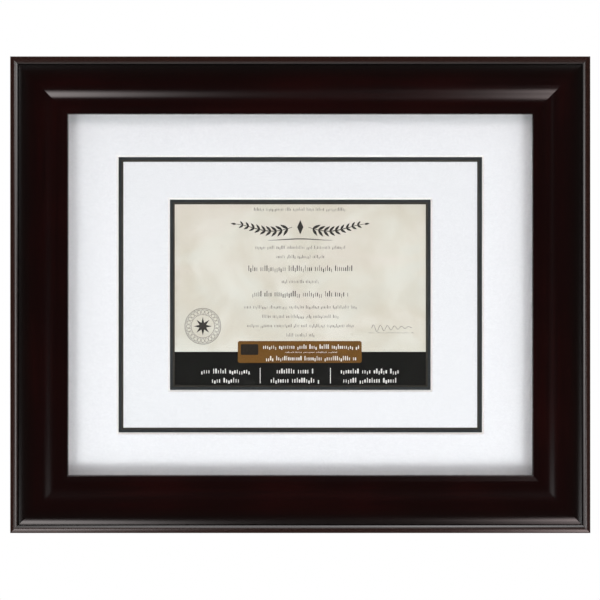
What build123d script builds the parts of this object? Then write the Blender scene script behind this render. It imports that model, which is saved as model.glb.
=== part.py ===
from build123d import *
import math
import os

# A landscape certificate frame. Four mitred rails hold the glass, a stack of mats, the sheet and
# a backing board, and turn buttons on the back keep them in. It hangs by a sawtooth hanger.
# Millimetres. The front faces -Y and +Z is up. The origin is where the wall's nail bears in the
# landscape hanger, in the plane of the rails' backs.

# Sheets of the glazing package, which all have the glass's outline
glass_width = 355.6
glass_height = 279.4
glass_thickness = 2.0
mat_thickness = 1.4
sheet_thickness = 0.3
backing_thickness = 3.0

# Windows of the mats, at their back edge, and the black strip that shows inside each
outer_window_width = 269.5
outer_window_height = 204.2
inner_window_width = 193.5
inner_window_height = 141.3
black_strip_width = 3.5
window_bevel_angle = 45

# The document
sheet_width = 203.2
sheet_height = 152.4

# Rail section: insets run inward from the outer edge, drops run back from the bead's top
rail_width = 42.2
rail_depth = 23.8
lip_overlap = 6.35
glass_clearance = 0.8
bead_width = 5.4
bead_radius = 9.4
bead_outer_angle = 15
arris_radius = 0.5
quirk_width = 0.7
quirk_depth = 0.9
cove_radius = 18.0
cove_edge_angle = 30
crown_inset = 33.5
crown_drop = 4.1
crown_radius = 18.6
crown_foot_radius = 18.6
crown_outer_angle = 20
crown_inner_angle = 14
lip_radius = 0.8

# V nails, driven into the mitres from the back
v_nail_insets = (10.0, 24.0)
v_nail_wing = 6.0
v_nail_thickness = 0.6
v_nail_length = 10.0
v_nail_half_angle = 60
v_nail_clearance = 0.05

# Turn buttons and the screws that they pivot on
button_setback = 9.0
button_reach = 24.0
button_head_radius = 6.0
button_tip_radius = 4.5
button_thickness = 1.0
button_lift_length = 3.5
button_lift_angle = 20
button_gap = 0.15
button_bore_clearance = 0.1
button_spread_long_rail = 220.0
button_spread_short_rail = 150.0
screw_radius = 1.5
screw_length = 12.0
screw_head_radius = 3.4
screw_head_height = 2.1
screw_crown_radius = 2.3
recess_span = 3.6
recess_width = 0.9
recess_depth = 1.4
pilot_clearance = 0.05

# Sawtooth hangers and their nails
hanger_seat_inset = 18.0
hanger_length = 45.0
hanger_height = 9.0
hanger_thickness = 0.8
hanger_bow = 1.8
hanger_foot_length = 6.5
hanger_ramp_length = 5.0
hanger_corner_radius = 2.0
tooth_depth = 1.5
tooth_pitch = 3.0
notch_width = 2.6
nail_radius = 0.7
nail_length = 10.0
nail_point_length = 1.6
nail_head_radius = 1.8
nail_head_height = 0.6
nail_hole_clearance = 0.1

# One overrun for every cut that passes through a face
cut_overrun = 1.0

# The stack from the back forward, each height counted from the rails' backs
sheet_back = backing_thickness
mats_back = sheet_back + sheet_thickness
glass_back = mats_back + 4 * mat_thickness
rabbet_depth = glass_back + glass_thickness

# Outline of the whole frame
ledge_width = lip_overlap + glass_clearance
rabbet_inset = rail_width - ledge_width
outer_width = glass_width + 2 * (rail_width - lip_overlap)
outer_height = glass_height + 2 * (rail_width - lip_overlap)
middle = Vector(0, 0, hanger_seat_inset - outer_height / 2)

# Directions, and where each rail lies
front = Vector(0, -1, 0)
back = Vector(0, 1, 0)
inward = {
    "top": Vector(0, 0, -1),
    "bottom": Vector(0, 0, 1),
    "left": Vector(1, 0, 0),
    "right": Vector(-1, 0, 0),
}
rail_length = {"top": outer_width, "bottom": outer_width, "left": outer_height, "right": outer_height}
rail_span = {"top": outer_height, "bottom": outer_height, "left": outer_width, "right": outer_width}
button_spread = {
    "top": button_spread_long_rail,
    "bottom": button_spread_long_rail,
    "left": button_spread_short_rail,
    "right": button_spread_short_rail,
}
hanger_sides = {"landscape": "top", "portrait": "left"}


def finish(part, name):
    """Label a finished piece and write its STEP file."""
    part.label = name
    export_step(part, f"parts/{name}.step")


def section_plane(side):
    """Plane across a rail at its middle: x inward from the outer edge, y forward, z along the rail."""
    edge = middle - inward[side] * (rail_span[side] / 2)
    return Plane(origin=edge, x_dir=inward[side], z_dir=inward[side].cross(front))


def back_plane(side, inset, along):
    """Plane on a rail's back: x inward, z out of the back."""
    point = section_plane(side).from_local_coords((inset, 0, along))
    return Plane(origin=point, x_dir=inward[side], z_dir=back)


def layer(height):
    """Plane in the glazing package, this far in front of the rails' backs, facing forward."""
    return Plane(origin=middle + front * height, x_dir=(1, 0, 0), z_dir=front)


def button_planes(side):
    """Back planes at the two pivots of a rail's turn buttons."""
    inset = rabbet_inset - button_setback
    return [back_plane(side, inset, along * button_spread[side] / 2) for along in (1, -1)]


def hanger_plane(side):
    """Plane at a hanger's nail seat: y towards the rail's outer edge, z out of the back."""
    seat = back_plane(side, hanger_seat_inset, 0)
    return Plane(origin=seat.origin, x_dir=back.cross(inward[side]), z_dir=back)


def hanger_nail_planes(side):
    """Hanger plane moved to each of the hanger's two nails."""
    seat = hanger_plane(side)
    reach = (hanger_length - hanger_foot_length) / 2
    rise = hanger_height / 2 - tooth_depth
    return [
        Plane(origin=seat.from_local_coords((way * reach, rise, 0)), x_dir=seat.x_dir, z_dir=back)
        for way in (1, -1)
    ]


def v_nail_outline(clearance):
    """The eight V nails in plan: two wings from a crest on the mitre, open towards the middle."""
    wing = v_nail_wing + clearance
    thickness = v_nail_thickness + 2 * clearance
    with BuildSketch(layer(0)) as outline:
        for right in (1, -1):
            for up in (1, -1):
                home = math.degrees(math.atan2(-up, -right))
                for inset in v_nail_insets:
                    crest = (right * (outer_width / 2 - inset), up * (outer_height / 2 - inset))
                    with Locations(crest):
                        for turn in (v_nail_half_angle, -v_nail_half_angle):
                            Rectangle(
                                wing, thickness, rotation=home + turn, align=(Align.MIN, Align.CENTER)
                            )
    return outline.sketch


def make_rail(side):
    """One mitred rail: its section, drawn along the rail and cut at 45 degrees at both ends."""
    across = section_plane(side)
    half_length = rail_length[side] / 2
    crown_top = (crown_inset, rail_depth - crown_drop)
    with BuildPart() as rail:
        with BuildSketch(across) as section:
            with BuildLine():
                wall = Line((0, 0), (0, rail_depth - arris_radius))
                arris = JernArc(wall @ 1, wall % 1, arris_radius, -90 - bead_outer_angle)
                outer_sine = math.sin(math.radians(bead_outer_angle))
                inner_sine = outer_sine + (bead_width - (arris @ 1).X) / bead_radius
                bead_turn = math.degrees(math.asin(inner_sine)) - bead_outer_angle
                bead = JernArc(arris @ 1, arris % 1, bead_radius, -bead_turn)
                rise = JernArc(crown_top, (-1, 0), crown_radius, crown_outer_angle)
                foot = JernArc(rise @ 1, rise % 1, crown_foot_radius, -crown_outer_angle)
                cove_start = bead_width + quirk_width + cove_radius * math.sin(math.radians(cove_edge_angle))
                floor = Line(foot @ 1, (cove_start, (foot @ 1).Y))
                cove = JernArc(floor @ 1, floor % 1, cove_radius, -cove_edge_angle)
                quirk_floor = (cove @ 1).Y - quirk_depth
                Polyline(bead @ 1, (bead_width, quirk_floor), ((cove @ 1).X, quirk_floor), cove @ 1)
                fall = JernArc(crown_top, (1, 0), crown_radius, -crown_inner_angle)
                slope_run = rail_width - (fall @ 1).X
                slope_fall = slope_run * math.tan(math.radians(crown_inner_angle))
                lip = (rail_width, (fall @ 1).Y - slope_fall)
                Polyline(
                    fall @ 1,
                    lip,
                    (rail_width, rabbet_depth),
                    (rabbet_inset, rabbet_depth),
                    (rabbet_inset, 0),
                    (0, 0),
                )
            make_face()
            fillet(section.vertices().sort_by_distance(lip)[0], lip_radius)
        extrude(amount=half_length, both=True)
        for way in (1, -1):
            corner = across.from_local_coords((0, 0, way * half_length))
            split(bisect_by=Plane(origin=corner, z_dir=across.x_dir + across.z_dir * way), keep=Keep.BOTTOM)
        slots = v_nail_outline(v_nail_clearance)
        extrude(slots, amount=v_nail_length + v_nail_clearance, dir=front, mode=Mode.SUBTRACT)
        with Locations(*button_planes(side)):
            Hole(screw_radius + pilot_clearance, depth=screw_length)
        if side in hanger_sides.values():
            with Locations(*hanger_nail_planes(side)):
                Hole(nail_radius + pilot_clearance, depth=nail_length)
    return rail.part


def make_mat(window_width, window_height, step):
    """A mat board with a bevelled window, this many boards in front of the sheet."""
    behind = layer(mats_back + step * mat_thickness)
    with BuildPart() as mat:
        with BuildSketch(behind):
            Rectangle(glass_width, glass_height)
        extrude(amount=mat_thickness)
        with BuildSketch(behind):
            Rectangle(window_width, window_height)
        extrude(amount=mat_thickness, taper=-window_bevel_angle, mode=Mode.SUBTRACT)
    return mat.part


def make_board(width, height, thickness, behind):
    """A plain sheet of the package, with its back face at this height."""
    with BuildPart() as board:
        with BuildSketch(layer(behind)):
            Rectangle(width, height)
        extrude(amount=thickness)
    return board.part


def make_turn_button(pivot):
    """A steel tab on its pivot, pointing inward over the backing board, with a lifted finger tip."""
    lift_start = button_reach - button_lift_length
    lift = button_lift_length * math.tan(math.radians(button_lift_angle))
    lower = button_gap
    upper = button_gap + button_thickness
    with BuildPart() as button:
        with BuildSketch(Plane(origin=pivot.origin, x_dir=pivot.x_dir, z_dir=-pivot.y_dir)):
            with BuildLine():
                Polyline(
                    (-button_head_radius, lower),
                    (lift_start, lower),
                    (button_reach, lower + lift),
                    (button_reach, upper + lift),
                    (lift_start, upper),
                    (-button_head_radius, upper),
                    close=True,
                )
            make_face()
        extrude(amount=button_head_radius, both=True)
        with BuildSketch(pivot):
            Circle(button_head_radius)
            with Locations((button_reach - button_tip_radius, 0)):
                Circle(button_tip_radius)
            make_hull()
        extrude(amount=upper + lift + cut_overrun, mode=Mode.INTERSECT)
        with Locations(pivot.offset(upper)):
            Hole(screw_radius + button_bore_clearance)
    return button.part


def make_screw():
    """A bevelled pan head screw on +Z, with the button's running gap under its head."""
    seat = button_thickness + 2 * button_gap
    top = seat + screw_head_height
    tip = seat - screw_length
    with BuildPart() as screw:
        with BuildSketch(Plane.XZ):
            with BuildLine():
                Polyline(
                    (0, top),
                    (0, tip),
                    (screw_radius, tip),
                    (screw_radius, seat),
                    (screw_head_radius, seat),
                    (screw_crown_radius, top),
                    close=True,
                )
            make_face()
        revolve(axis=Axis.Z)
        with BuildSketch(Plane.XY.offset(top)):
            Rectangle(recess_span, recess_width)
            Rectangle(recess_width, recess_span)
        extrude(amount=-recess_depth, mode=Mode.SUBTRACT)
    return screw.part


def make_nail():
    """A nail on +Z with a low pointed head, which bears on the hanger's foot."""
    top = hanger_thickness + nail_head_height
    tip = hanger_thickness - nail_length
    with BuildPart() as nail:
        with BuildSketch(Plane.XZ):
            with BuildLine():
                Polyline(
                    (0, top),
                    (0, tip),
                    (nail_radius, tip + nail_point_length),
                    (nail_radius, hanger_thickness),
                    (nail_head_radius, hanger_thickness),
                    close=True,
                )
            make_face()
        revolve(axis=Axis.Z)
    return nail.part


def make_hanger(side):
    """A bowed steel strip with a row of notches along the edge that bears on the nail."""
    seat = hanger_plane(side)
    end = hanger_length / 2
    ramp_foot = end - hanger_foot_length
    ramp_head = ramp_foot - hanger_ramp_length
    crest = hanger_bow + hanger_thickness
    half = [
        (ramp_head, hanger_bow, crest),
        (ramp_foot, 0, hanger_thickness),
        (end, 0, hanger_thickness),
    ]
    under = [(x, low) for x, low, high in half]
    over = [(x, high) for x, low, high in reversed(half)]
    mirrored_over = [(-x, high) for x, low, high in half]
    mirrored_under = [(-x, low) for x, low, high in reversed(half)]
    notches = int((ramp_head - tooth_pitch / 2) / tooth_pitch)
    with BuildPart() as hanger:
        with BuildSketch(Plane(origin=seat.origin, x_dir=seat.x_dir, z_dir=-seat.y_dir)):
            with BuildLine():
                Polyline(*under, *over, *mirrored_over, *mirrored_under, close=True)
            make_face()
        extrude(amount=hanger_height, both=True)
        with BuildSketch(seat):
            with Locations((0, hanger_height / 2 - tooth_depth)):
                RectangleRounded(hanger_length, hanger_height, hanger_corner_radius)
            with Locations(*[(step * tooth_pitch, 0) for step in range(-notches, notches + 1)]):
                Polygon(
                    (0, 0),
                    (notch_width / 2, -tooth_depth),
                    (-notch_width / 2, -tooth_depth),
                    align=None,
                    mode=Mode.SUBTRACT,
                )
        extrude(amount=crest + cut_overrun, mode=Mode.INTERSECT)
        with Locations(*[plane.offset(hanger_thickness) for plane in hanger_nail_planes(side)]):
            Hole(nail_radius + nail_hole_clearance)
    return hanger.part


# Rails
for side in inward:
    finish(make_rail(side), f"rail_{side}")

# V nails in the mitres
with BuildPart() as corner_v_nails:
    extrude(v_nail_outline(0), amount=v_nail_length, dir=front)
finish(corner_v_nails.part, "corner_v_nails")

# Glazing package, front to back
finish(make_board(glass_width, glass_height, glass_thickness, glass_back), "glass_pane")
black_inset = 2 * black_strip_width
finish(make_mat(outer_window_width, outer_window_height, 3), "mat_outer_white")
finish(make_mat(outer_window_width - black_inset, outer_window_height - black_inset, 2), "mat_outer_black")
finish(make_mat(inner_window_width, inner_window_height, 1), "mat_inner_white")
finish(make_mat(inner_window_width - black_inset, inner_window_height - black_inset, 0), "mat_inner_black")
finish(make_board(sheet_width, sheet_height, sheet_thickness, sheet_back), "insert_sheet")
finish(make_board(glass_width, glass_height, backing_thickness, 0), "backing_board")

# Turn buttons, two on each rail, and their screws
button_ends = {
    "top": ("left", "right"),
    "bottom": ("right", "left"),
    "left": ("lower", "upper"),
    "right": ("upper", "lower"),
}
for side in inward:
    for end, pivot in zip(button_ends[side], button_planes(side)):
        finish(make_turn_button(pivot), f"turn_button_{side}_{end}")
screw = make_screw()
with BuildPart() as turn_button_screws:
    for side in inward:
        with Locations(*button_planes(side)):
            add(screw)
finish(turn_button_screws.part, "turn_button_screws")

# Hangers and their nails
for name, side in hanger_sides.items():
    finish(make_hanger(side), f"hanger_{name}")
nail = make_nail()
with BuildPart() as hanger_nails:
    for side in hanger_sides.values():
        with Locations(*hanger_nail_planes(side)):
            add(nail)
finish(hanger_nails.part, "hanger_nails")
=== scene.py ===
import math
import random

import bpy
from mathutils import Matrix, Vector


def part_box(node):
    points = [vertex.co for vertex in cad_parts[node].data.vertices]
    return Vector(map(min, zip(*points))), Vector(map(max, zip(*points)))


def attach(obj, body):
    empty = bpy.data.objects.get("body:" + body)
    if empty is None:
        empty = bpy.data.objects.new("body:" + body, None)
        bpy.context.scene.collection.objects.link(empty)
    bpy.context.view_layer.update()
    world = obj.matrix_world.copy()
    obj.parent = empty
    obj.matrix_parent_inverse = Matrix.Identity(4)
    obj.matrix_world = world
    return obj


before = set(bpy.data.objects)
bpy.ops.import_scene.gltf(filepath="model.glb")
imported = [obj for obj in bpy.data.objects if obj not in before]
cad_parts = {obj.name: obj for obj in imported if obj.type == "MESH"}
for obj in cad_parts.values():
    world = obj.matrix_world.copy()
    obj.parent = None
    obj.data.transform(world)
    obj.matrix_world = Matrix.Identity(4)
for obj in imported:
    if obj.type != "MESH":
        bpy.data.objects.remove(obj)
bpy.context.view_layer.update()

MM = 0.001

# Places taken from the frame
left_low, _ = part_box("rail_left")
_, right_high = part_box("rail_right")
top_low, top_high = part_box("rail_top")
bottom_low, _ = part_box("rail_bottom")
sheet_low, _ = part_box("insert_sheet")
glass_low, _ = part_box("glass_pane")
HALF_WIDTH = (right_high[0] - left_low[0]) / 2
HALF_HEIGHT = (top_high[2] - bottom_low[2]) / 2
CENTRE_Z = (top_high[2] + bottom_low[2]) / 2
FRONT_Y = top_low[1]
SHEET_FRONT_Y = sheet_low[1]
SHEET_BOTTOM_Z = sheet_low[2]

# Bare wood begins just in front of the rabbet's ledge, where the glass rests, and just outside
# the rabbet's wall
LEDGE_Y = glass_low[1] - 0.2 * MM
RABBET_INSET = glass_low[0] - left_low[0] - 1.2 * MM

# Rail section, as insets from the outer edge, and the width of the line where two rails meet
BEAD_WIDTH = 5.4 * MM
QUIRK_WIDTH = 0.7 * MM
CROWN_INSET = 33.5 * MM
SEAM_WIDTH = 0.12 * MM

# Colours of the finishes, in linear light
LACQUER_BROWN = (0.0056, 0.0015, 0.0014)
LACQUER_RED = (0.0094, 0.0018, 0.0017)
LACQUER_GLAZE = (0.0040, 0.0023, 0.0020)
# Warm brown for rubbed wear on the bead, which also paints the warmth of the bead's highlight
LACQUER_WEAR_AND_WARM_HIGHLIGHT = (0.0215, 0.0085, 0.0062)
LACQUER_SEAM = (0.0016, 0.0012, 0.0010)
FIBRE_DARK = (0.19, 0.115, 0.062)
FIBRE_PALE = (0.33, 0.215, 0.125)
FIBRE_STAIN = (0.15, 0.085, 0.045)
FIBRE_OVERSPRAY = (0.012, 0.006, 0.004)
ZINC_DARK = (0.33, 0.335, 0.34)
ZINC_PALE = (0.60, 0.61, 0.62)
ZINC_TARNISH = (0.36, 0.33, 0.27)
GLASS_CLEAR = (1.0, 1.0, 1.0)
GLASS_GREEN = (0.985, 0.995, 0.992)
GLASS_SHADOW = (0.98, 0.98, 0.98)
PAPER_CREAM = (0.646, 0.615, 0.52)
PAPER_PALE = (0.744, 0.74, 0.665)
PAPER_COOL = (0.685, 0.715, 0.66)
PAPER_BLUSH = (0.753, 0.70, 0.64)
PAPER_SPECK = (0.48, 0.42, 0.33)
HARDBOARD_DARK = (0.098, 0.052, 0.026)
HARDBOARD_PALE = (0.205, 0.125, 0.068)
HARDBOARD_CLOUD = (0.13, 0.072, 0.036)
HARDBOARD_FLECK = (0.045, 0.024, 0.014)
FLOOR_GREY = (0.78, 0.78, 0.78)
FLOOR_PALE = (0.82, 0.82, 0.82)
SKY = (0.92, 0.96, 1.0)
WHITE = (1.0, 1.0, 1.0)

# The print, in millimetres. Layers start this far in front of the sheet, and are this thick.
ON_SHEET = 0.01
ON_BAND = 0.03
ON_PLATE = 0.15
BAND_INK = 0.02
FINE_INK = 0.03
HEAVY_INK = 0.04
PLATE_THICKNESS = 0.12
SHEET_HALF_WIDTH = 101.6

# Camera
CAMERA_DISTANCE = 2.2
CAMERA_DROP = 3.9 * MM
CAMERA_LEFT = 0.2 * MM
VIEW_WIDTH = 441.8 * MM
SENSOR_WIDTH = 36

# Floor, which starts close in front of the frame, so that it blocks none of the low lamps
FLOOR_DROP = 0.75
FLOOR_FRONT_Y = -0.4
FLOOR_BACK_Y = 2.6
FLOOR_HALF_WIDTH = 1.8

# Lamps: name, azimuth and elevation from the front in degrees, distance, width, height,
# radiance, tint. The keys light the crown, the next four the boards, the last two the back,
# and the others the beads and coves.
LAMPS = (
    ("left key lamp", -16.9, 40.0, 1.79, 0.55, 0.85, 8.45, (1.0, 0.92, 0.91)),
    ("right key lamp", 19.0, 31.6, 1.76, 0.50, 0.97, 11.4, (1.0, 0.84, 0.83)),
    ("upper left lamp", -43.0, 38.0, 1.70, 1.00, 1.00, 4.0, WHITE),
    ("upper right lamp", 43.0, 38.0, 1.70, 1.00, 1.00, 2.8, WHITE),
    ("lower left lamp", -43.0, -38.0, 1.70, 1.00, 1.00, 16.2, WHITE),
    ("lower right lamp", 43.0, -38.0, 1.70, 1.00, 1.00, 20.4, WHITE),
    ("left strip", -70.2, 0.1, 1.82, 1.10, 1.21, 5.64, WHITE),
    ("right strip", 63.5, -5.4, 1.98, 0.83, 1.14, 5.70, WHITE),
    ("top strip", -6.4, 66.3, 1.86, 1.47, 0.83, 3.12, WHITE),
    ("bottom strip", 4.8, -80.0, 1.17, 1.10, 1.07, 2.44, WHITE),
    ("far right lamp", 53.5, 8.8, 3.80, 0.90, 0.95, 6.5, WHITE),
    ("far left lamp", -52.5, -9.5, 3.76, 0.70, 1.10, 13.0, WHITE),
    ("side right lamp", 72.7, 9.4, 2.77, 2.04, 0.98, 5.45, WHITE),
    ("low left lamp", -42.0, -15.8, 1.76, 0.60, 0.50, 3.6, WHITE),
    ("low right lamp", 46.0, -17.5, 1.33, 0.40, 0.50, 4.2, WHITE),
    ("top left lamp", -32.6, 78.5, 1.73, 0.67, 0.96, 3.88, WHITE),
    ("top right lamp", 39.2, 78.6, 2.22, 0.92, 0.78, 8.64, WHITE),
    ("back left lamp", -150, 30, 1.90, 1.60, 1.60, 7.8, WHITE),
    ("back right lamp", 150, 20, 1.90, 1.60, 1.60, 6.8, WHITE),
)


class Value:
    """A socket that can be used in Python expressions, each of which adds a Math node."""

    def __init__(self, nodes, socket):
        self.nodes = nodes
        self.socket = socket

    def __add__(self, other):
        return self.nodes.math("ADD", self, other)

    def __radd__(self, other):
        return self.nodes.math("ADD", other, self)

    def __sub__(self, other):
        return self.nodes.math("SUBTRACT", self, other)

    def __rsub__(self, other):
        return self.nodes.math("SUBTRACT", other, self)

    def __mul__(self, other):
        return self.nodes.math("MULTIPLY", self, other)

    def __rmul__(self, other):
        return self.nodes.math("MULTIPLY", other, self)

    def __abs__(self):
        return self.nodes.math("ABSOLUTE", self)

    def __gt__(self, other):
        return self.nodes.math("GREATER_THAN", self, other)


class Nodes:
    """Adds nodes to one node tree and links or sets their sockets."""

    def __init__(self, tree):
        self.tree = tree
        self.tree.nodes.clear()

    def add(self, kind, sockets=None, out=0, **settings):
        """One node: settings first, then the values or links of its sockets."""
        node = self.tree.nodes.new(kind)
        for name, setting in settings.items():
            setattr(node, name, setting)
        for name, value in (sockets or {}).items():
            if isinstance(value, Value):
                self.tree.links.new(value.socket, node.inputs[name])
            else:
                node.inputs[name].default_value = value
        return Value(self, node.outputs[out]) if node.outputs else None

    def outputs(self, kind, *names):
        """The named outputs of one new node."""
        node = self.tree.nodes.new(kind)
        return [Value(self, node.outputs[name]) for name in names]

    def math(self, operation, *values):
        return self.add("ShaderNodeMath", dict(enumerate(values)), operation=operation)

    def larger(self, first, second):
        return self.math("MAXIMUM", first, second)

    def mix(self, factor, first, second):
        """Blend of two colours."""
        first, second = [(*c, 1) if isinstance(c, tuple) else c for c in (first, second)]
        sockets = {0: factor, 6: first, 7: second}
        return self.add("ShaderNodeMix", sockets, out=2, data_type="RGBA")

    def step(self, value, low, high):
        """0 at low, 1 at high, and a smooth ramp between. High may lie below low."""
        sockets = {0: value, 1: low, 2: high}
        return self.add("ShaderNodeMapRange", sockets, interpolation_type="SMOOTHSTEP")

    def place(self):
        """The point in the part's own frame, in metres."""
        return self.add("ShaderNodeTexCoord", out="Object")

    def split(self, vector):
        node = self.tree.nodes.new("ShaderNodeSeparateXYZ")
        self.tree.links.new(vector.socket, node.inputs[0])
        return [Value(self, output) for output in node.outputs]

    def facing_back(self):
        """How far a face looks to the back: 1 straight back, -1 straight to the front."""
        return self.split(self.add("ShaderNodeNewGeometry", out="True Normal"))[1]

    def stretch(self, vector, scales):
        return self.add("ShaderNodeVectorMath", {0: vector, 1: scales}, operation="MULTIPLY")

    def noise(self, vector, scale, detail=3.0, roughness=0.5, distortion=0.0):
        sockets = {
            "Vector": vector,
            "Scale": scale,
            "Detail": detail,
            "Roughness": roughness,
            "Distortion": distortion,
        }
        return self.add("ShaderNodeTexNoise", sockets)

    def bump(self, height, distance, strength):
        sockets = {"Height": height, "Distance": distance, "Strength": strength}
        return self.add("ShaderNodeBump", sockets)

    def principled(self, **sockets):
        named = {name.replace("_", " "): value for name, value in sockets.items()}
        return self.add("ShaderNodeBsdfPrincipled", named)

    def finish(self, shader):
        self.add("ShaderNodeOutputMaterial", {"Surface": shader})


def new_finish(name):
    """An empty node material and its nodes."""
    material = bpy.data.materials.new(name)
    material.use_nodes = True
    return material, Nodes(material.node_tree)


def rail_lacquer(name, along_x):
    """Dark mahogany lacquer in front and outside, bare wood fibre behind and in the rabbet."""
    material, n = new_finish(name)
    place = n.place()
    x, y, z = n.split(place)
    inset_x = HALF_WIDTH - abs(x)
    inset_z = HALF_HEIGHT - abs(z - CENTRE_Z)
    inset = n.math("MINIMUM", inset_x, inset_z)

    # Long streaks along the rail over soft clouds of red
    grain_scale = (14, 260, 260) if along_x else (260, 260, 14)
    grain = n.noise(n.stretch(place, grain_scale), 1.0, detail=5.0, roughness=0.6)
    clouds = n.noise(place, 14.0, detail=2.0)
    red = n.step(clouds * 0.6 + grain * 0.4, 0.4, 0.62)
    wood = n.mix(red, LACQUER_BROWN, LACQUER_RED)

    # A darker glaze in the cove, and a warmer tone on the bead: partly wear where hands rub it,
    # partly painted warmth that tints the bead's highlight
    glaze = n.step(inset, BEAD_WIDTH + QUIRK_WIDTH, CROWN_INSET * 0.6)
    front = n.mix(glaze, LACQUER_GLAZE, wood)
    wear_and_warm_highlight = 1 - n.step(inset + grain * 0.8 * MM, 3.6 * MM, BEAD_WIDTH * 1.3)
    fade = 1 - n.step(y - FRONT_Y, 1.5 * MM, 6.0 * MM)
    front = n.mix(wear_and_warm_highlight * fade * 0.85, front, LACQUER_WEAR_AND_WARM_HIGHLIGHT)

    # A hairline shows where the mitres meet
    seam = 1 - n.step(abs(inset_x - inset_z), SEAM_WIDTH * 0.4, SEAM_WIDTH)
    front = n.mix(seam * 0.8, front, LACQUER_SEAM)

    # Bare fibre faces the wall and the glazing package, with lacquer sprayed over its outer edge
    behind = n.facing_back() > 0.7
    inside = (inset > RABBET_INSET) * (y > LEDGE_Y)
    bare = n.larger(behind, inside)
    fibre = n.noise(place, 900.0, detail=4.0, roughness=0.7)
    board = n.mix(n.step(fibre, 0.3, 0.75), FIBRE_DARK, FIBRE_PALE)
    stain = n.step(n.noise(place, 55.0), 0.35, 0.8)
    board = n.mix(stain * 0.35, board, FIBRE_STAIN)
    edge = n.step(inset, 0.0, 2.2 * MM) + fibre * 0.4
    board = n.mix(n.step(edge, 0.25, 0.75), FIBRE_OVERSPRAY, board)

    fine = n.noise(place, 1500.0, detail=2.0)
    speck = n.noise(place, 320.0, detail=3.0)
    height = grain * 0.5 + speck * 0.18 - seam * 1.2
    rough_height = fibre + fine * 0.5
    sheen = n.step(speck * 0.5 + clouds * 0.5, 0.3, 0.75) * 0.08
    shader = n.principled(
        Base_Color=n.mix(bare, front, board),
        Roughness=(0.42 + sheen) * (1 - bare) + bare * 0.82,
        Coat_Weight=1 - bare,
        Coat_Roughness=0.16,
        Coat_IOR=1.5,
        Specular_IOR_Level=0.0,
        Normal=n.bump(height * (1 - bare) * 0.25 + rough_height * bare, 0.05 * MM, 0.6),
    )
    n.finish(shader)
    return material


def zinc_steel(name, axis):
    """Zinc plated steel, brushed along one axis, with a faint spangle and handling marks."""
    material, n = new_finish(name)
    place = n.place()
    scales = [900.0, 900.0, 900.0]
    scales[axis] = 60.0
    brushed = n.noise(n.stretch(place, tuple(scales)), 1.0, detail=4.0, roughness=0.65)
    spangle = n.add("ShaderNodeTexVoronoi", {"Vector": place, "Scale": 420.0})
    tarnish = n.step(n.noise(place, 130.0, detail=4.0), 0.45, 0.75)
    tone = brushed * 0.5 + spangle * 0.35
    colour = n.mix(n.step(tone, 0.2, 0.7), ZINC_DARK, ZINC_PALE)
    shader = n.principled(
        Base_Color=n.mix(tarnish * 0.45, colour, ZINC_TARNISH),
        Metallic=1.0,
        Roughness=0.27 + brushed * 0.22 + tarnish * 0.1,
        Normal=n.bump(brushed + spangle * 0.2, 0.02 * MM, 0.5),
    )
    n.finish(shader)
    return material


def clear_glass():
    """Polished picture glass with a faint green body, which lets the lamps' light through."""
    material, n = new_finish("clear picture glass")
    ripple = n.noise(n.place(), 3.0, detail=1.0)
    glass = n.principled(
        Base_Color=n.mix(ripple, GLASS_CLEAR, GLASS_GREEN),
        Roughness=0.0,
        IOR=1.5,
        Transmission_Weight=1.0,
        Normal=n.bump(ripple, 0.02 * MM, 0.2),
    )
    clear = n.add("ShaderNodeBsdfTransparent", {0: (*GLASS_SHADOW, 1)})
    shadow, diffuse = n.outputs("ShaderNodeLightPath", "Is Shadow Ray", "Is Diffuse Ray")
    lamp = n.larger(shadow, diffuse)
    n.finish(n.add("ShaderNodeMixShader", {0: lamp, 1: glass, 2: clear}))
    return material


def mat_board(name, face, fleck, core):
    """Mat board: a soft fibrous face paper and a bevelled cut that shows the core."""
    material, n = new_finish(name)
    place = n.place()
    felt = n.noise(place, 700.0, detail=5.0, roughness=0.65)
    fibres = n.noise(n.stretch(place, (1, 1, 3)), 260.0, detail=4.0, distortion=1.5)
    cloud = n.noise(place, 9.0, detail=2.0)
    paper = n.mix(n.step(felt * 0.6 + fibres * 0.4, 0.35, 0.7), fleck, face)
    paper = n.mix(cloud * 0.18, paper, fleck)
    cut = 1 - n.step(abs(n.facing_back()), 0.8, 0.95)
    layers = n.noise(n.stretch(place, (60, 2400, 60)), 1.0, detail=3.0)
    shader = n.principled(
        Base_Color=n.mix(cut, paper, core),
        Roughness=0.88 + felt * 0.08,
        Specular_IOR_Level=0.25,
        Normal=n.bump(felt * (1 - cut) + fibres * 0.6 + layers * cut, 0.05 * MM, 0.5),
    )
    n.finish(shader)
    return material


def cream_paper():
    """Parchment coloured paper with pale clouds and a fine tooth."""
    material, n = new_finish("cream parchment paper")
    place = n.place()
    cloud = n.noise(place, 26.0, detail=4.0, roughness=0.55, distortion=0.6)
    drift = n.noise(n.stretch(place, (1, 1, 1.6)), 12.0, detail=2.0, distortion=1.2)
    fibre = n.noise(place, 850.0, detail=5.0, roughness=0.7)
    warm = n.mix(n.step(cloud, 0.3, 0.72), PAPER_CREAM, PAPER_PALE)
    cool = n.mix(n.step(drift, 0.45, 0.7) * 0.55, warm, PAPER_COOL)
    blush = n.mix(n.step(drift, 0.5, 0.28) * 0.4, cool, PAPER_BLUSH)
    speck = n.step(n.noise(place, 420.0, detail=2.0), 0.69, 0.76)
    shader = n.principled(
        Base_Color=n.mix(speck * 0.22, blush, PAPER_SPECK),
        Roughness=0.72 + fibre * 0.15,
        Specular_IOR_Level=0.3,
        Normal=n.bump(fibre, 0.03 * MM, 0.5),
    )
    n.finish(shader)
    return material


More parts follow.
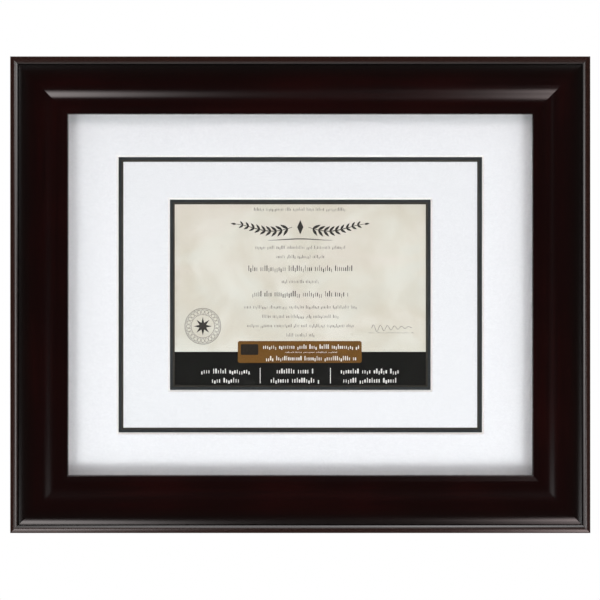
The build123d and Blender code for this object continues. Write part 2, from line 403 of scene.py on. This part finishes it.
def print_ink(name, dense, thin, roughness=0.5):
    """Printed ink that takes a little of the paper's tooth."""
    material, n = new_finish(name)
    place = n.place()
    tooth = n.noise(place, 900.0, detail=4.0, roughness=0.7)
    press = n.noise(place, 60.0, detail=2.0)
    cover = n.step(tooth * 0.7 + press * 0.3, 0.38, 0.72)
    shader = n.principled(
        Base_Color=n.mix(cover, dense, thin),
        Roughness=roughness + tooth * 0.15,
        Specular_IOR_Level=0.2,
        Normal=n.bump(tooth, 0.02 * MM, 0.35),
    )
    n.finish(shader)
    return material


def hardboard():
    """Smooth brown hardboard with pressed fibres and darker flecks."""
    material, n = new_finish("pressed hardboard")
    place = n.place()
    fibre = n.noise(place, 620.0, detail=6.0, roughness=0.7, distortion=0.8)
    flat = n.stretch(place, (1, 1, 0.6))
    flock = n.noise(flat, 150.0, detail=5.0, roughness=0.6, distortion=2.0)
    cloud = n.noise(place, 8.0, detail=2.0)
    pressed = n.step(fibre * 0.5 + flock * 0.5, 0.32, 0.68)
    tone = n.mix(pressed, HARDBOARD_DARK, HARDBOARD_PALE)
    tone = n.mix(n.step(cloud, 0.3, 0.8) * 0.35, tone, HARDBOARD_CLOUD)
    fleck = n.step(flock, 0.64, 0.72)
    shader = n.principled(
        Base_Color=n.mix(fleck * 0.5, tone, HARDBOARD_FLECK),
        Roughness=0.55 + fibre * 0.2,
        Specular_IOR_Level=0.35,
        Normal=n.bump(fibre + flock * 0.6, 0.06 * MM, 0.5),
    )
    n.finish(shader)
    return material


def polar(x, z, radius, angle):
    """The point at a radius and an angle round x and z."""
    return (x + radius * math.cos(angle), z + radius * math.sin(angle))


def heading_of(start, end):
    """The angle of the way from one point to another."""
    return math.atan2(end[1] - start[1], end[0] - start[0])


class Print:
    """Thin raised shapes on the sheet, in millimetres from its middle, gathered in one mesh."""

    def __init__(self, base, thickness):
        self.base = base
        self.thickness = thickness
        self.vertices = []
        self.faces = []

    def point(self, x, z, height):
        return (x * MM, SHEET_FRONT_Y - height * MM, CENTRE_Z + z * MM)

    def outline(self, points):
        """A closed prism on a simple outline, counter-clockwise as the viewer sees it."""
        start = len(self.vertices)
        count = len(points)
        for height in (self.base, self.base + self.thickness):
            self.vertices += [self.point(x, z, height) for x, z in points]
        self.faces.append([start + i for i in reversed(range(count))])
        self.faces.append([start + count + i for i in range(count)])
        for i in range(count):
            j = (i + 1) % count
            self.faces.append([start + i, start + j, start + count + j, start + count + i])

    def bar(self, x, z, width, height, radius=None, segments=3):
        """A bar with rounded corners, centred on x and z."""
        radius = min(width, height) / 2 if radius is None else radius
        points = []
        for corner in range(4):
            cx = x + (width / 2 - radius) * (1 if corner in (0, 3) else -1)
            cz = z + (height / 2 - radius) * (1 if corner in (0, 1) else -1)
            for i in range(segments + 1):
                angle = math.pi / 2 * (corner + i / segments)
                points.append(polar(cx, cz, radius, angle))
        self.outline(points)

    def words(self, z, width, height, stroke, pitch, seed, x=0.0):
        """A centred line of plain upright strokes, grouped like words, with no letter in it."""
        rng = random.Random(seed)
        cells = round(width / pitch)
        run = rng.randint(4, 9)
        for cell in range(cells):
            if run == 0:
                run = rng.randint(4, 13)
                continue
            run -= 1
            wide = stroke * rng.choice((0.7, 1.0, 1.35))
            tall = height * rng.choice((0.66, 0.66, 0.74, 1.0))
            drop = height * rng.choice((0.0, 0.0, 0.0, 0.22)) if tall < height else 0.0
            across = x + (cell - (cells - 1) / 2) * pitch
            middle = z - height / 2 + tall / 2 - drop
            self.bar(across, middle, wide, tall, radius=wide / 4, segments=1)

    def ribbon(self, path, widths, closed=False):
        """A stroke along a path, as wide at each point as widths says."""
        count = len(path)
        start = len(self.vertices)
        for i, (x, z) in enumerate(path):
            before = path[i - 1] if i or closed else path[i]
            after = path[(i + 1) % count] if i < count - 1 or closed else path[i]
            run = heading_of(before, after)
            half = widths[i] / 2
            nx, nz = -math.sin(run) * half, math.cos(run) * half
            for height in (self.base, self.base + self.thickness):
                self.vertices.append(self.point(x + nx, z + nz, height))
                self.vertices.append(self.point(x - nx, z - nz, height))
        for i in range(count if closed else count - 1):
            a = start + 4 * i
            b = start + 4 * ((i + 1) % count)
            self.faces += [
                [a + 2, a + 3, b + 3, b + 2],
                [a, b, b + 1, a + 1],
                [a, a + 2, b + 2, b],
                [a + 1, b + 1, b + 3, a + 3],
            ]
        if not closed:
            last = start + 4 * (count - 1)
            self.faces.append([start, start + 1, start + 3, start + 2])
            self.faces.append([last, last + 2, last + 3, last + 1])

    def piece(self, name, ink):
        """Makes the mesh object, which rides on the frame."""
        mesh = bpy.data.meshes.new(name)
        mesh.from_pydata(self.vertices, [], self.faces)
        mesh.materials.append(ink)
        mesh.validate()
        piece = bpy.data.objects.new(name, mesh)
        bpy.context.scene.collection.objects.link(piece)
        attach(piece, "frame")


def leaf(start, heading, length, width):
    """The outline of a pointed leaf that grows from a point, counter-clockwise."""
    steps = 7
    sides = []
    for way in (-1, 1):
        side = []
        for i in range(steps + 1):
            share = i / steps
            across = way * width / 2 * math.sin(math.pi * share**0.8)
            side.append((length * share, across))
        sides.append(side)
    outline = sides[0] + sides[1][-2:0:-1]
    x, z = start
    c, s = math.cos(heading), math.sin(heading)
    return [(x + c * along - s * across, z + s * along + c * across) for along, across in outline]


def laurel_spray(heading, side, level):
    """A sagging stem that grows to one side, with nine pairs of leaves and one at its tip."""
    steps = 40
    pairs = 9
    first_leaf, leaf_spacing = 3, 4
    stem = []
    for i in range(steps + 1):
        share = i / steps
        sag = 3.2 * math.sin(math.pi * share * 1.35) * (1 - 0.2 * share)
        stem.append((side * (6.0 + 41.5 * share), level - sag))
    widths = [0.75 - 0.4 * abs(2 * i / steps - 1) for i in range(steps + 1)]
    heading.ribbon(stem if side > 0 else stem[::-1], widths)
    for pair in range(pairs):
        place = first_leaf + pair * leaf_spacing
        run = heading_of(stem[place], stem[place + 1])
        length = 6.6 - 0.32 * pair
        width = 2.0 - 0.07 * pair
        for way in (1, -1):
            heading.outline(leaf(stem[place], run + way * 0.72, length, width))
    heading.outline(leaf(stem[-1], heading_of(stem[-2], stem[-1]), 4.2, 1.5))


def title_ornament(ink):
    """Two laurel sprays that grow out from a lozenge over a swelled rule, as the heading."""
    heading = Print(ON_SHEET, HEAVY_INK)
    level = 50.2
    for side in (1, -1):
        laurel_spray(heading, side, level)
    heading.outline([(0, level + 5.4), (-2.3, level), (0, level - 5.4), (2.3, level)])
    steps = 40
    reach = 24
    rule = []
    for i in range(steps + 1):
        bow = 0.5 * math.cos(math.pi * (2 * i / steps - 1))
        rule.append((-reach + 2 * reach * i / steps, level - 9.2 + bow))
    heading.ribbon(rule, [0.2 + 0.55 * math.sin(math.pi * i / steps) for i in range(steps + 1)])
    heading.piece("certificate_heading", ink)


def certificate_lines(ink, pale_ink):
    """Fine strokes where the certificate's lines run, taller and darker for the two main ones."""
    small = Print(ON_SHEET, FINE_INK)
    # Level, width and seed
    rows = (
        (63.6, 69.5, 11),
        (35.3, 67.0, 12),
        (28.4, 35.5, 13),
        (9.9, 27.5, 14),
        (-9.0, 84.0, 15),
        (-16.0, 57.0, 16),
        (-22.9, 80.0, 17),
        (-29.8, 21.5, 18),
    )
    for level, width, seed in rows:
        small.words(level, width, height=2.5, stroke=0.36, pitch=1.12, seed=seed)
    small.words(-28.2, 34.0, height=0.7, stroke=0.25, pitch=0.62, seed=19, x=67.4)
    # A wavy line that calms to the right
    wave = []
    widths = []
    for i in range(86):
        turn = 0.42 * i
        swell = 3.4 - 0.034 * i
        wave.append((53.0 + 0.35 * i, -25.0 + swell * math.sin(turn) * 0.8 + 0.01 * i))
        widths.append(0.22 + 0.16 * abs(math.sin(turn + 0.8)))
    small.ribbon(wave, widths)
    small.piece("certificate_small_lines", pale_ink)
    main = Print(ON_SHEET, HEAVY_INK)
    for level, width, seed in ((19.7, 78.5, 21), (0.8, 71.5, 22)):
        main.words(level, width, height=4.2, stroke=0.50, pitch=1.5, seed=seed)
    main.piece("certificate_main_lines", ink)


def rosette_seal(ink, pale_ink):
    """A round seal of fine rings and petals, with a plain star at its heart."""
    x, z = -72.4, -23.4
    fine = Print(ON_SHEET, FINE_INK)
    turns = 96
    for radius, width in ((13.3, 0.4), (12.5, 0.2), (8.6, 0.3)):
        ring = [polar(x, z, radius, math.tau * i / turns) for i in range(turns)]
        fine.ribbon(ring, [width] * turns, closed=True)
    petals = 24
    steps = 8
    for petal in range(petals):
        angle = math.tau * petal / petals
        curve = []
        for i in range(steps + 1):
            share = i / steps
            radius = 8.9 + 3.3 * math.sin(math.pi * share)
            turn = angle + math.tau / petals * (share - 0.5) * 1.7
            curve.append(polar(x, z, radius, turn))
        fine.ribbon(curve, [0.28] * len(curve))
    fine.piece("seal_rings", pale_ink)
    star = Print(ON_SHEET, HEAVY_INK)
    corners = 16
    outline = []
    for i in range(corners):
        radius = 6.8 if i % 2 == 0 else 2.7
        outline.append(polar(x, z, radius, math.pi / 2 + math.tau * i / corners))
    star.outline(outline)
    star.piece("seal_star", ink)


def footer(black, white, plate, dark_plate):
    """The dark band at the foot of the sheet, its strokes, and the plate that laps its edge."""
    foot = (SHEET_BOTTOM_Z - CENTRE_Z) / MM
    top = -42.3
    band = Print(ON_SHEET, BAND_INK)
    band.bar(0, (foot + top) / 2, 2 * SHEET_HALF_WIDTH - 0.4, top - foot - 0.2, radius=0.2)
    band.piece("footer_band", black)
    marks = Print(ON_BAND, FINE_INK)
    # Middle, widths of the upper and the lower line, and seed
    columns = ((-55.6, 36, 21.5, 31), (-4.0, 28, 36, 33), (51.6, 43, 41, 35))
    for x, first_width, second_width, seed in columns:
        marks.words(-56.7, first_width, height=3.6, stroke=0.85, pitch=1.75, seed=seed, x=x)
        marks.words(-63.5, second_width, height=3.6, stroke=0.85, pitch=1.75, seed=seed + 1, x=x)
    for x in (-29.8, 22.4):
        marks.bar(x, -60.1, 0.5, 11.6)
    marks.piece("footer_marks", white)
    label = Print(ON_BAND, PLATE_THICKNESS)
    label.bar(-0.4, -42.5, 92.0, 16.2, radius=1.5, segments=5)
    label.piece("size_plate", plate)
    block = Print(ON_PLATE, FINE_INK)
    block.bar(-37.7, -40.7, 13.1, 8.0, radius=0.9, segments=4)
    block.piece("size_plate_block", dark_plate)
    rows = Print(ON_PLATE, FINE_INK)
    rows.words(-38.5, 71.5, height=3.3, stroke=0.72, pitch=1.5, seed=41, x=8.0)
    rows.words(-42.7, 39.5, height=0.9, stroke=0.35, pitch=0.8, seed=42, x=8.0)
    rows.words(-47.1, 67.5, height=3.3, stroke=0.72, pitch=1.5, seed=43, x=8.0)
    rows.piece("size_plate_rows", white)


def softbox(name, azimuth, elevation, distance, width, height, radiance, tint):
    """A rectangular lamp that faces the frame's middle and fades from its heart to its edges."""
    target = Vector((0, FRONT_Y, CENTRE_Z))
    a, e = math.radians(azimuth), math.radians(elevation)
    way = Vector((math.sin(a) * math.cos(e), -math.cos(a) * math.cos(e), math.sin(e)))
    lamp = bpy.data.lights.new(name, "AREA")
    lamp.shape = "RECTANGLE"
    lamp.size = width
    lamp.size_y = height
    lamp.energy = radiance * math.pi * width * height
    lamp.color = tint
    lamp.use_nodes = True
    n = Nodes(lamp.node_tree)
    # Each runs from 0 to 1 over the lamp
    across, up, _ = n.split(n.add("ShaderNodeNewGeometry", out="Parametric"))
    heart = n.math("SINE", across * math.pi) * n.math("SINE", up * math.pi)
    glow = n.add("ShaderNodeEmission", {"Strength": heart * heart})
    n.add("ShaderNodeOutputLight", {0: glow})
    lamp_object = bpy.data.objects.new(name, lamp)
    lamp_object.location = target + way * distance
    lamp_object.rotation_mode = "QUATERNION"
    lamp_object.rotation_quaternion = (-way).to_track_quat("-Z", "Y")
    bpy.context.scene.collection.objects.link(lamp_object)


def rays(n):
    """Camera, glossy and transmission rays, each 0 or 1."""
    names = ("Is Camera Ray", "Is Glossy Ray", "Is Transmission Ray")
    return n.outputs("ShaderNodeLightPath", *names)


def studio_world():
    """White to the eye and behind the frame, dim where the lamps stand."""
    world = bpy.data.worlds.new("studio")
    bpy.context.scene.world = world
    world.use_nodes = True
    n = Nodes(world.node_tree)
    way = n.split(n.add("ShaderNodeTexCoord", out="Generated"))
    behind = n.step(way[1], 0.05, 0.35)
    camera, glossy, clear = rays(n)
    mirrored = n.larger(glossy, clear)
    seen = n.larger(camera, mirrored * behind)
    white = n.add("ShaderNodeBackground", {0: (*WHITE, 1), 1: 1.0})
    # A little light fills the room, and mirrors see still less of it
    dim = n.add("ShaderNodeBackground", {0: (*SKY, 1), 1: 0.07 - 0.06 * mirrored})
    shader = n.add("ShaderNodeMixShader", {0: seen, 1: dim, 2: white})
    n.add("ShaderNodeOutputWorld", {0: shader})


def pale_floor():
    """A plain floor below the hanging frame, white to the eye but for the frame's shadow."""
    level = bottom_low[2] - FLOOR_DROP
    mesh = bpy.data.meshes.new("floor")
    corners = [
        (-FLOOR_HALF_WIDTH, FLOOR_FRONT_Y, level),
        (FLOOR_HALF_WIDTH, FLOOR_FRONT_Y, level),
        (FLOOR_HALF_WIDTH, FLOOR_BACK_Y, level),
        (-FLOOR_HALF_WIDTH, FLOOR_BACK_Y, level),
    ]
    mesh.from_pydata(corners, [], [(0, 1, 2, 3)])
    floor = bpy.data.objects.new("floor", mesh)
    bpy.context.scene.collection.objects.link(floor)
    material, n = new_finish("pale floor")
    place = n.place()
    camera, glossy, clear = rays(n)
    behind = n.step(n.split(place)[1], -0.1, 0.1)
    seen = n.larger(camera, n.larger(glossy, clear) * behind)
    grain = n.noise(place, 40.0)
    pale = n.principled(Base_Color=n.mix(grain, FLOOR_GREY, FLOOR_PALE), Roughness=0.7)
    white = n.add("ShaderNodeEmission", {0: (*WHITE, 1), 1: 1.0})
    n.finish(n.add("ShaderNodeMixShader", {0: seen * 0.85, 1: pale, 2: white}))
    mesh.materials.append(material)


def photograph_camera():
    """The photograph's level, frontal view."""
    camera = bpy.data.cameras.new("camera")
    camera.sensor_width = SENSOR_WIDTH
    camera.lens = SENSOR_WIDTH * CAMERA_DISTANCE / VIEW_WIDTH
    camera.clip_end = 50
    camera_object = bpy.data.objects.new("camera", camera)
    eye = (-CAMERA_LEFT, FRONT_Y - CAMERA_DISTANCE, CENTRE_Z - CAMERA_DROP)
    camera_object.location = eye
    camera_object.rotation_euler = (math.pi / 2, 0, 0)
    bpy.context.scene.collection.objects.link(camera_object)
    bpy.context.scene.camera = camera_object


def dress():
    """Gives every CAD node its finish."""
    long_rails = rail_lacquer("dark mahogany lacquer, long rails", True)
    short_rails = rail_lacquer("dark mahogany lacquer, short rails", False)
    upright_steel = zinc_steel("zinc plated steel, upright", 2)
    level_steel = zinc_steel("zinc plated steel, level", 0)
    white_board = mat_board(
        "white mat board",
        face=(0.862, 0.885, 0.914),
        fleck=(0.788, 0.81, 0.840),
        core=(0.90, 0.89, 0.88),
    )
    black_board = mat_board(
        "black mat board",
        face=(0.018, 0.022, 0.024),
        fleck=(0.028, 0.033, 0.035),
        core=(0.042, 0.038, 0.031),
    )
    finishes = {
        "rail_top": long_rails,
        "rail_bottom": long_rails,
        "rail_left": short_rails,
        "rail_right": short_rails,
        "corner_v_nails": level_steel,
        "glass_pane": clear_glass(),
        "mat_outer_white": white_board,
        "mat_outer_black": black_board,
        "mat_inner_white": white_board,
        "mat_inner_black": black_board,
        "insert_sheet": cream_paper(),
        "backing_board": hardboard(),
        "turn_button_screws": level_steel,
        "hanger_landscape": level_steel,
        "hanger_portrait": upright_steel,
        "hanger_nails": level_steel,
    }
    for name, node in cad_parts.items():
        if name not in finishes:
            # A turn button, brushed along its length
            lies_level = name.startswith(("turn_button_left", "turn_button_right"))
            finishes[name] = level_steel if lies_level else upright_steel
        for slot in node.material_slots:
            slot.material = finishes[name]


def print_sheet():
    """Adds the sheet's print."""
    ink = print_ink("black printing ink", dense=(0.022, 0.020, 0.018), thin=(0.060, 0.055, 0.050))
    pale_ink = print_ink("grey printing ink", dense=(0.13, 0.125, 0.11), thin=(0.20, 0.19, 0.17))
    band_ink = print_ink(
        "solid black print",
        dense=(0.0035, 0.0036, 0.0028),
        thin=(0.0058, 0.0059, 0.0048),
        roughness=0.4,
    )
    white_ink = print_ink("white print", dense=(0.80, 0.80, 0.78), thin=(0.70, 0.70, 0.68))
    plate_ink = print_ink(
        "brown printed plate",
        dense=(0.138, 0.064, 0.012),
        thin=(0.168, 0.083, 0.018),
        roughness=0.35,
    )
    block_ink = print_ink(
        "dark printed block",
        dense=(0.018, 0.014, 0.010),
        thin=(0.028, 0.022, 0.016),
        roughness=0.35,
    )
    title_ornament(ink)
    certificate_lines(ink, pale_ink)
    rosette_seal(ink, pale_ink)
    footer(band_ink, white_ink, plate_ink, block_ink)


dress()
print_sheet()
pale_floor()
studio_world()
photograph_camera()
for lamp_settings in LAMPS:
    softbox(*lamp_settings)
bpy.context.scene.view_settings.view_transform = "Standard"
